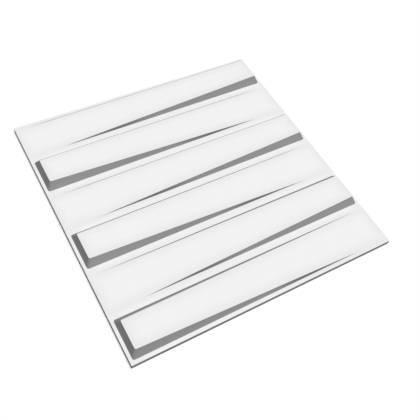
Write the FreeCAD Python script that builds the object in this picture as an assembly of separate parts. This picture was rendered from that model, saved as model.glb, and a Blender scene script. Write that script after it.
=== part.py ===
# Relief wall tile, cast in one piece: a flat square plate with long raised bars.
# Every bar stands high at one end and slopes down until it is flush with the
# plate near the other. The bars point left and right by turns, so the tile looks
# the same after half a turn. Sizes are in millimetres. X runs along the bars, Z
# is the outward normal of the wall, and the origin is the middle of the back.
import FreeCAD
import Part
import os
from math import tan, radians

V = FreeCAD.Vector

TILE_SIDE = 500.0         # square tile, butted edge to edge on the wall
PLATE_THICKNESS = 10.0    # back of the tile to the floor of the grooves
PLATE_EDGE_ROUND = 0.3    # eased edge all round the front of the plate

BAR_PAIRS = 3             # one left and one right bar in each pair
BAR_WIDTH = 70.0          # across the foot of a bar
BAR_RISE = 15.0           # height over the plate if the top ran on to the end foot
END_MARGIN = 5.5          # from the tile edge to the foot of a bar's high end
FADE_MARGIN = 66.0        # from the tile edge to where the low end dies out
LOW_END_RISE = 0.5        # what the sloping top has left there, before it is eased away
EASED_LENGTH = 25.0       # last stretch, where the top goes down to nothing
SIDE_DRAFT = 32.5         # degrees off the vertical, long sides of a bar
END_DRAFT = 26.0          # degrees off the vertical, high end of a bar
CORNER_ROUND = 4.0        # the two upright corners of the high end
TOP_ROUND = 0.6           # edge between a bar's top and its sides
FOOT_COVE = 0.4           # hollow fillet where a bar stands on the plate

BAR_LENGTH = TILE_SIDE - END_MARGIN - FADE_MARGIN
BAR_PITCH = TILE_SIDE / (2 * BAR_PAIRS)
TOP_FALL = (BAR_RISE - LOW_END_RISE) / BAR_LENGTH
SPARE = 5.0               # how far a cutting shape reaches past what it cuts
EPS = 1e-3


def face(points):
    return Part.Face(Part.makePolygon(points + points[:1]))


def side_prism(outline):
    """Solid with an outline in X and Z that reaches past both sides of a bar."""
    reach = BAR_WIDTH / 2 + SPARE
    return face([V(x, -reach, z) for x, z in outline]).extrude(V(0, 2 * reach, 0))


def cross_prism(outline):
    """Solid as long as a bar with an outline in Y and Z."""
    return face([V(0, y, z) for y, z in outline]).extrude(V(BAR_LENGTH, 0, 0))


def ends(edge):
    return [vertex.Point for vertex in edge.Vertexes]


def plate():
    """Square plate with its back on z = 0 and an eased front edge."""
    half = TILE_SIDE / 2
    body = Part.makeBox(TILE_SIDE, TILE_SIDE, PLATE_THICKNESS, V(-half, -half, 0))
    front_edges = [edge for edge in body.Edges if min(p.z for p in ends(edge)) > EPS]
    return body.makeFillet(PLATE_EDGE_ROUND, front_edges)


def blank_bar():
    """Bar along +X before its top is cut, with the middle of its end foot on the origin.

    It is the common part of the side view, which gives the leaning end, and the
    section, which gives the leaning sides."""
    height = BAR_RISE + SPARE
    half = BAR_WIDTH / 2
    end_run = tan(radians(END_DRAFT)) * height
    side_run = tan(radians(SIDE_DRAFT)) * height
    side_view = side_prism([(0, 0), (end_run, height), (BAR_LENGTH, height), (BAR_LENGTH, 0)])
    section = cross_prism([(-half, 0), (side_run - half, height), (half - side_run, height), (half, 0)])
    body = side_view.common(section).removeSplitter().Solids[0]
    corners = []
    for edge in body.Edges:
        low, high = sorted(ends(edge), key=lambda p: p.z)
        if high.z - low.z > height - EPS and high.x < BAR_LENGTH / 2:
            corners.append(edge)
    return body.makeFillet(CORNER_ROUND, corners)


def coved_bar():
    """The blank bar on a piece of ground, with a cove between the two."""
    half = BAR_WIDTH / 2
    ground_corner = V(-SPARE, -half - SPARE, -SPARE)
    ground = Part.makeBox(BAR_LENGTH + SPARE, BAR_WIDTH + 2 * SPARE, SPARE, ground_corner)
    body = ground.fuse(blank_bar()).removeSplitter()
    foot = []
    for edge in body.Edges:
        on_foot = all(abs(p.z) < EPS and abs(p.y) < half + EPS and p.x > -EPS for p in ends(edge))
        at_low_end = all(p.x > BAR_LENGTH - EPS for p in ends(edge))
        if on_foot and not at_low_end:
            foot.append(edge)
    return body.makeFillet(FOOT_COVE, foot)


def bar():
    """Finished bar: the coved one, cut off by its sloping top and by the ground."""
    def top_height(x):
        return BAR_RISE - TOP_FALL * x

    under_top = side_prism([(-SPARE, 0), (-SPARE, top_height(-SPARE)),
                            (BAR_LENGTH, LOW_END_RISE), (BAR_LENGTH, 0)])
    body = coved_bar().common(under_top).removeSplitter().Solids[0]
    rim = []
    for edge in body.Edges:
        on_top = all(abs(p.z - top_height(p.x)) < EPS for p in ends(edge))
        if on_top and min(p.x for p in ends(edge)) < BAR_LENGTH - EPS:
            rim.append(edge)
    body = body.makeFillet(TOP_ROUND, rim)
    eased_start = BAR_LENGTH - EASED_LENGTH
    over_eased_end = side_prism([
        (eased_start, top_height(eased_start)),
        (eased_start, BAR_RISE),
        (BAR_LENGTH + SPARE, BAR_RISE),
        (BAR_LENGTH + SPARE, 0),
        (BAR_LENGTH, 0),
    ])
    return body.cut(over_eased_end).Solids[0]


def placed_bars():
    """Left and right bars by turns, from the lower edge of the tile upwards."""
    left_bar = bar()
    first_row = (BAR_PITCH - TILE_SIDE) / 2
    bars = []
    for row in range(2 * BAR_PAIRS):
        copy = left_bar.copy()
        copy.translate(V(END_MARGIN - TILE_SIDE / 2, first_row, PLATE_THICKNESS))
        if row % 2:
            copy.rotate(V(0, first_row, 0), V(0, 0, 1), 180)
        copy.translate(V(0, BAR_PITCH * row, 0))
        bars.append(copy)
    return bars


tile = plate().fuse(placed_bars()).removeSplitter().Solids[0]

os.makedirs("parts", exist_ok=True)
tile.exportStep("parts/tile.step")
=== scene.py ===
# White relief wall tile lying on a plain white floor, under a soft overhead light.
# Lengths are in metres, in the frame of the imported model: X runs along the bars,
# Z points out of the tile's face, and the origin is the middle of its back.
import bpy
from math import cos, pi, radians, sin
from mathutils import Matrix, Vector


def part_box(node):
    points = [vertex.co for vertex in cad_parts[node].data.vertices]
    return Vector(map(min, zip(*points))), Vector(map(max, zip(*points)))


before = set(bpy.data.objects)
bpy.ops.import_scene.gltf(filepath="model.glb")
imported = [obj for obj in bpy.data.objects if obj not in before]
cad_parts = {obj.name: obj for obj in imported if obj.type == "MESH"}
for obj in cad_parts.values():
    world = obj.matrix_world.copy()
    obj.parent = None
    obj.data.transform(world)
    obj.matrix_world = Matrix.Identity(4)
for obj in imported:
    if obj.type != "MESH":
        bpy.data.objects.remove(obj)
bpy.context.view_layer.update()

# The relief, as the shade painted on the plaster has to follow it. A place along a bar is
# counted from the middle of the tile, and grows towards the bar's low end.
TILE_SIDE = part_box("tile")[1].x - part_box("tile")[0].x
ROWS = 6                   # one bar in each, turned left and right by turns
ROW_WIDTH = TILE_SIDE / ROWS
BAR_HALF_WIDTH = 0.035     # middle line of a bar to its foot
TOP_DRAW_IN = 0.0094       # foot to top edge on the long sides, at the high end
HIGH_END = -0.2373         # top edge of the high end
LOW_END = 0.184            # where the bar dies out

# Plaster white, and the tones of the shade painted on it, each the share of the white that is left where
# it is strongest.
# A lean is the Z of a face's normal: 1 for a flat face, 0 for an upright one,
# and below 0 on the back.
FACE_WHITE = (0.865, 0.865, 0.865)
SLOPE_PAINTED_SHADES = (            # painted shade of a face by its lean: grey where steep, white where flat
    (0.0, 0.42), (0.438, 0.318), (0.537, 0.386), (0.62, 0.35), (0.97, 0.98), (1.0, 1.0),
)
FRONT_LEANS = (0.1, 0.3)   # between them a face begins to count as front
EDGE_PAINTED_SHADE = 0.935          # soft painted shade beside the edges and creases
EDGE_REACH = 0.020

CREASE_PAINTED_SHADE = 0.22         # painted shade line just inside the upper edge of every bar
CREASE_INSET = 0.0003
CREASE_HALF_WIDTH = 0.0016
CREASE_LEAD_IN = 0.003     # length in which it begins at the high end
CREASE_WEAKEST = 0.60      # its strength there,
CREASE_FULL = 0.120        # the place along the bar where it has full strength,
CREASE_FADE = (0.155, 0.231)   # and the places between which it fades away

TAIL_PAINTED_SHADE = 0.90           # faint painted shade line along the lower foot, where a bar dies out
TAIL_PLACE = 0.182         # place along the bar where it is strongest
TAIL_REACH = 0.014         # from there to nothing, either way
TAIL_HALF_WIDTH = 0.0013

LOW_SIDE_PAINTED_SHADE = 0.56       # painted shade on the long sides, darker towards the low end
LOW_SIDE_START = -0.01     # place along the bar where that starts,
LOW_SIDE_DARKEST = 0.085   # and where it is strongest
LOW_SIDE_LEFT = 0.2        # share of it that is left at the low end
SIDE_LEANS = (0.2, 0.4, 0.7, 0.9)   # of the long sides: none, all, all, none

# Plaster surface. A scale is how fine a noise is.
NOISE_SPREAD = (0.3, 0.7)  # values of a noise that count as its least and most
MOTTLE_SCALE = 14.0
MOTTLE_TONES = (0.992, 1.0)
ROUGHNESS_SCALE = 60.0
ROUGHNESS = (0.62, 0.70)
SPECULAR_LEVEL = 0.1
GRAIN_SCALE = 900.0
GRAIN_DETAIL = 2.0
GRAIN_HEIGHT = 0.15        # share of the bump's full height
TROWEL_SCALE = 120.0
TROWEL_DETAIL = 4.0
BACK_LEANS = (-0.5, -0.9)  # between them a face begins to count as back
BUMP_STRENGTH = 0.2
BUMP_HEIGHT = 0.0004

# Floor and light
FLOOR_SIZE = 8.0
FLOOR_DROP = 0.0005        # its gap under the tile
FLOOR_SEEN = (0.99, 0.99, 0.99)     # its colour as the camera sees it,
FLOOR_THROWN = (0.25, 0.25, 0.25)   # and for the light that it throws back
FLOOR_ROUGHNESS = 0.9
SUN_TURN = (10.5, 2.0, 0.0)         # degrees off straight down
SUN_STRENGTH = 0.90 * pi
SUN_SPREAD = 25.0          # degrees, for soft shadows
SKY_SEEN = 1.0             # strength of the white sky as the camera sees it,
SKY_LIGHT = 0.14           # and as light on the tile

# Camera, at the photograph's viewing angle, in degrees
IMAGE_SIDE = 420           # pixels
SENSOR = 36.0              # millimetres
FOCAL_PIXELS = 583.29
VIEW_CENTRE = (187.01, 205.39)      # pixel that the lens axis meets
CAMERA_AZIMUTH = -37.436
CAMERA_ELEVATION = 55.235
CAMERA_ROLL = 10.572
CAMERA_DISTANCE = 1.0300
CAMERA_TARGET = Vector((-0.03621, -0.03039, 0.002))


class Nodes:
    """Short calls that add linked nodes to one material."""

    def __init__(self, material):
        material.use_nodes = True
        self.tree = material.node_tree
        self.shader = self.tree.nodes["Principled BSDF"]

    def add(self, kind, **settings):
        node = self.tree.nodes.new(kind)
        for name, value in settings.items():
            setattr(node, name, value)
        return node

    def link(self, value, socket):
        """Links an output to a socket, or sets the socket to a plain number."""
        if isinstance(value, bpy.types.NodeSocket):
            self.tree.links.new(value, socket)
        else:
            socket.default_value = value

    def math(self, operation, *values):
        node = self.add("ShaderNodeMath", operation=operation)
        for value, socket in zip(values, node.inputs):
            self.link(value, socket)
        return node.outputs[0]

    def product(self, first, *others):
        for other in others:
            first = self.math("MULTIPLY", first, other)
        return first

    def distance(self, value, place):
        return self.math("ABSOLUTE", self.math("SUBTRACT", value, place))

    def ramp(self, value, low, high, to_low=0.0, to_high=1.0, smooth=True):
        """The value's place between low and high, as a number from to_low to to_high."""
        node = self.add("ShaderNodeMapRange")
        node.interpolation_type = "SMOOTHSTEP" if smooth else "LINEAR"
        for name, number in (("Value", value), ("From Min", low), ("From Max", high),
                             ("To Min", to_low), ("To Max", to_high)):
            self.link(number, node.inputs[name])
        return node.outputs["Result"]

    def shade(self, tone, *amounts):
        """A shade of 1 that goes down to the tone where all the amounts are 1."""
        covered = self.product(*amounts)
        return self.math("SUBTRACT", 1.0, self.math("MULTIPLY", covered, 1.0 - tone))

    def noise(self, vector, scale, detail=3.0):
        node = self.add("ShaderNodeTexNoise")
        self.link(vector, node.inputs["Vector"])
        node.inputs["Scale"].default_value = scale
        node.inputs["Detail"].default_value = detail
        return node.outputs["Fac"]


def relief_fields(nodes, point):
    """Where a point of the face lies in the relief.

    Gives its place along the bar, its distance across the bar inwards from the
    upper top edge, its distance from the lower foot, and from the nearest edge."""
    axes = nodes.add("ShaderNodeSeparateXYZ")
    nodes.link(point, axes.inputs[0])
    x, y = axes.outputs["X"], axes.outputs["Y"]
    rows_up = nodes.math("DIVIDE", nodes.math("ADD", y, TILE_SIDE / 2), ROW_WIDTH)
    row = nodes.math("FLOOR", rows_up)
    rows_over_middle = nodes.math("SUBTRACT", nodes.math("SUBTRACT", rows_up, row), 0.5)
    across = nodes.math("MULTIPLY", rows_over_middle, ROW_WIDTH)
    turned = nodes.math("MODULO", row, 2.0)
    direction = nodes.math("SUBTRACT", 1.0, nodes.math("MULTIPLY", turned, 2.0))
    along = nodes.math("MULTIPLY", x, direction)

    draw_in = nodes.ramp(along, HIGH_END, LOW_END, TOP_DRAW_IN, 0.0, smooth=False)
    top_edge = nodes.math("SUBTRACT", BAR_HALF_WIDTH, draw_in)
    inside_upper_edge = nodes.math("SUBTRACT", top_edge, across)
    from_lower_foot = nodes.distance(across, -BAR_HALF_WIDTH)
    from_side = nodes.distance(top_edge, nodes.math("ABSOLUTE", across))
    from_high_end = nodes.distance(along, HIGH_END)
    from_low_rim = nodes.math("SUBTRACT", TILE_SIDE / 2, along)
    nearest = nodes.math("MINIMUM", nodes.math("MINIMUM", from_side, from_high_end), from_low_rim)
    return along, inside_upper_edge, from_lower_foot, nearest


def relief_painted_shade(nodes, point, lean):
    """Painted shade by place: beside the edges, in the crease lines and tails, on the low long sides."""
    along, inside_upper_edge, from_lower_foot, nearest = relief_fields(nodes, point)
    on_front = nodes.ramp(lean, *FRONT_LEANS)
    # painted soft shade beside the edges of the front faces
    edge = nodes.shade(EDGE_PAINTED_SHADE, on_front, nodes.ramp(nearest, EDGE_REACH, 0.0))
    # painted shade line along the upper crease of each bar
    crease = nodes.shade(
        CREASE_PAINTED_SHADE, on_front,
        nodes.product(
            nodes.ramp(nodes.distance(inside_upper_edge, CREASE_INSET), CREASE_HALF_WIDTH, 0.0),
            nodes.ramp(along, CREASE_FADE[1], CREASE_FADE[0], smooth=False),
            nodes.ramp(along, HIGH_END, CREASE_FULL, CREASE_WEAKEST, 1.0),
            nodes.ramp(along, HIGH_END, HIGH_END + CREASE_LEAD_IN)))
    # faint painted shade line at the lower foot, where the bar dies out
    tail = nodes.shade(
        TAIL_PAINTED_SHADE, on_front,
        nodes.product(
            nodes.ramp(from_lower_foot, TAIL_HALF_WIDTH, 0.0),
            nodes.ramp(nodes.distance(along, TAIL_PLACE), TAIL_REACH, 0.0)))
    # painted shade on the long sides, darker towards the low end
    low_side_painted_shade = nodes.shade(
        LOW_SIDE_PAINTED_SHADE,
        nodes.product(
            nodes.ramp(lean, SIDE_LEANS[0], SIDE_LEANS[1]),
            nodes.ramp(lean, SIDE_LEANS[3], SIDE_LEANS[2])),
        nodes.product(
            nodes.ramp(along, LOW_SIDE_START, LOW_SIDE_DARKEST),
            nodes.ramp(along, LOW_SIDE_DARKEST, LOW_END, 1.0, LOW_SIDE_LEFT)))
    return nodes.product(edge, crease, tail, low_side_painted_shade)


def painted_slope_shade(nodes, lean):
    """Painted shade: grey on the steep faces, whichever way they look, and white on the flat ones."""
    node = nodes.add("ShaderNodeFloatCurve")
    curve = node.mapping.curves[0]
    curve.points[0].location, curve.points[1].location = SLOPE_PAINTED_SHADES[0], SLOPE_PAINTED_SHADES[-1]
    for place, tone in SLOPE_PAINTED_SHADES[1:-1]:
        curve.points.new(place, tone)
    node.mapping.update()
    nodes.link(nodes.math("ABSOLUTE", lean), node.inputs["Value"])
    return node.outputs["Value"]


def plaster():
    """Smooth cast plaster: white faces, shade painted grey on the steep sides and along the relief, a
    struck-off rougher back.
    """
    material = bpy.data.materials.new("white_plaster")
    nodes = Nodes(material)
    place = nodes.add("ShaderNodeTexCoord")
    point = place.outputs["Object"]
    facing = nodes.add("ShaderNodeSeparateXYZ")
    nodes.link(place.outputs["Normal"], facing.inputs[0])
    lean = facing.outputs["Z"]

    mottle = nodes.ramp(nodes.noise(point, MOTTLE_SCALE), *NOISE_SPREAD, *MOTTLE_TONES)
    # shade painted by place and by lean, times the plaster's own faint random mottle
    tone = nodes.product(relief_painted_shade(nodes, point, lean), painted_slope_shade(nodes, lean), mottle)
    colour = nodes.add("ShaderNodeMix", data_type="RGBA", blend_type="MULTIPLY")
    colour.inputs["Factor"].default_value = 1.0
    colour.inputs["A"].default_value = (*FACE_WHITE, 1.0)
    nodes.link(tone, colour.inputs["B"])
    nodes.link(colour.outputs["Result"], nodes.shader.inputs["Base Color"])

    roughness = nodes.ramp(nodes.noise(point, ROUGHNESS_SCALE), *NOISE_SPREAD, *ROUGHNESS)
    nodes.link(roughness, nodes.shader.inputs["Roughness"])
    nodes.shader.inputs["Specular IOR Level"].default_value = SPECULAR_LEVEL

    grain = nodes.noise(point, GRAIN_SCALE, GRAIN_DETAIL)
    trowelled = nodes.noise(point, TROWEL_SCALE, TROWEL_DETAIL)
    on_back = nodes.ramp(lean, *BACK_LEANS)
    height = nodes.math("ADD", nodes.product(grain, GRAIN_HEIGHT), nodes.product(trowelled, on_back))
    bump = nodes.add("ShaderNodeBump")
    bump.inputs["Strength"].default_value = BUMP_STRENGTH
    bump.inputs["Distance"].default_value = BUMP_HEIGHT
    nodes.link(height, bump.inputs["Height"])
    nodes.link(bump.outputs["Normal"], nodes.shader.inputs["Normal"])
    return material


def seen_rays(tree):
    """1 for the rays that the camera, a gloss or a glass looks along, 0 for those that only light."""
    path = tree.nodes.new("ShaderNodeLightPath")
    seen = path.outputs["Is Camera Ray"]
    for kind in ("Is Glossy Ray", "Is Transmission Ray"):
        either = tree.nodes.new("ShaderNodeMath")
        either.operation = "MAXIMUM"
        tree.links.new(seen, either.inputs[0])
        tree.links.new(path.outputs[kind], either.inputs[1])
        seen = either.outputs[0]
    return seen


def white_floor():
    """Floor that the camera sees white, with the tile's shadow, and that throws little light back."""
    material = bpy.data.materials.new("studio_floor")
    nodes = Nodes(material)
    colour = nodes.add("ShaderNodeMix", data_type="RGBA")
    nodes.link(seen_rays(nodes.tree), colour.inputs["Factor"])
    colour.inputs["A"].default_value = (*FLOOR_THROWN, 1.0)
    colour.inputs["B"].default_value = (*FLOOR_SEEN, 1.0)
    nodes.link(colour.outputs["Result"], nodes.shader.inputs["Base Color"])
    nodes.shader.inputs["Roughness"].default_value = FLOOR_ROUGHNESS
    nodes.shader.inputs["Specular IOR Level"].default_value = 0.0
    bpy.ops.mesh.primitive_plane_add(size=FLOOR_SIZE, location=(0, 0, -FLOOR_DROP))
    floor = bpy.context.object
    floor.name = "floor"
    floor.data.materials.append(material)


def lights():
    """One wide light overhead, a little in front of the tile, and a sky that is faint but looks white."""
    bpy.ops.object.light_add(type="SUN", rotation=[radians(angle) for angle in SUN_TURN])
    sun = bpy.context.object.data
    sun.energy = SUN_STRENGTH
    sun.angle = radians(SUN_SPREAD)
    world = bpy.data.worlds.new("studio")
    world.use_nodes = True
    tree = world.node_tree
    sky = tree.nodes["Background"]
    sky.inputs["Color"].default_value = (1.0, 1.0, 1.0, 1.0)
    strength = tree.nodes.new("ShaderNodeMapRange")
    strength.inputs["To Min"].default_value = SKY_LIGHT
    strength.inputs["To Max"].default_value = SKY_SEEN
    tree.links.new(seen_rays(tree), strength.inputs["Value"])
    tree.links.new(strength.outputs["Result"], sky.inputs["Strength"])
    bpy.context.scene.world = world


def camera():
    """Camera on a sphere round its target, turned about the lens axis by the roll."""
    azimuth = radians(CAMERA_AZIMUTH)
    elevation = radians(CAMERA_ELEVATION)
    roll = radians(CAMERA_ROLL)
    away = Vector((sin(azimuth) * cos(elevation), -cos(azimuth) * cos(elevation), sin(elevation)))
    level = Vector((cos(azimuth), sin(azimuth), 0.0))
    upright = away.cross(level)
    right = level * cos(roll) + upright * sin(roll)
    up = upright * cos(roll) - level * sin(roll)
    bpy.ops.object.camera_add()
    view = bpy.context.object
    turn = Matrix((right, up, away)).transposed().to_4x4()
    view.matrix_world = Matrix.Translation(CAMERA_TARGET + away * CAMERA_DISTANCE) @ turn
    view.data.sensor_width = SENSOR
    view.data.lens = FOCAL_PIXELS / IMAGE_SIDE * SENSOR
    view.data.shift_x = (IMAGE_SIDE / 2 - VIEW_CENTRE[0]) / IMAGE_SIDE
    view.data.shift_y = (VIEW_CENTRE[1] - IMAGE_SIDE / 2) / IMAGE_SIDE
    bpy.context.scene.camera = view


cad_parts["tile"].material_slots[0].material = plaster()
white_floor()
lights()
camera()
bpy.context.scene.view_settings.view_transform = "Standard"
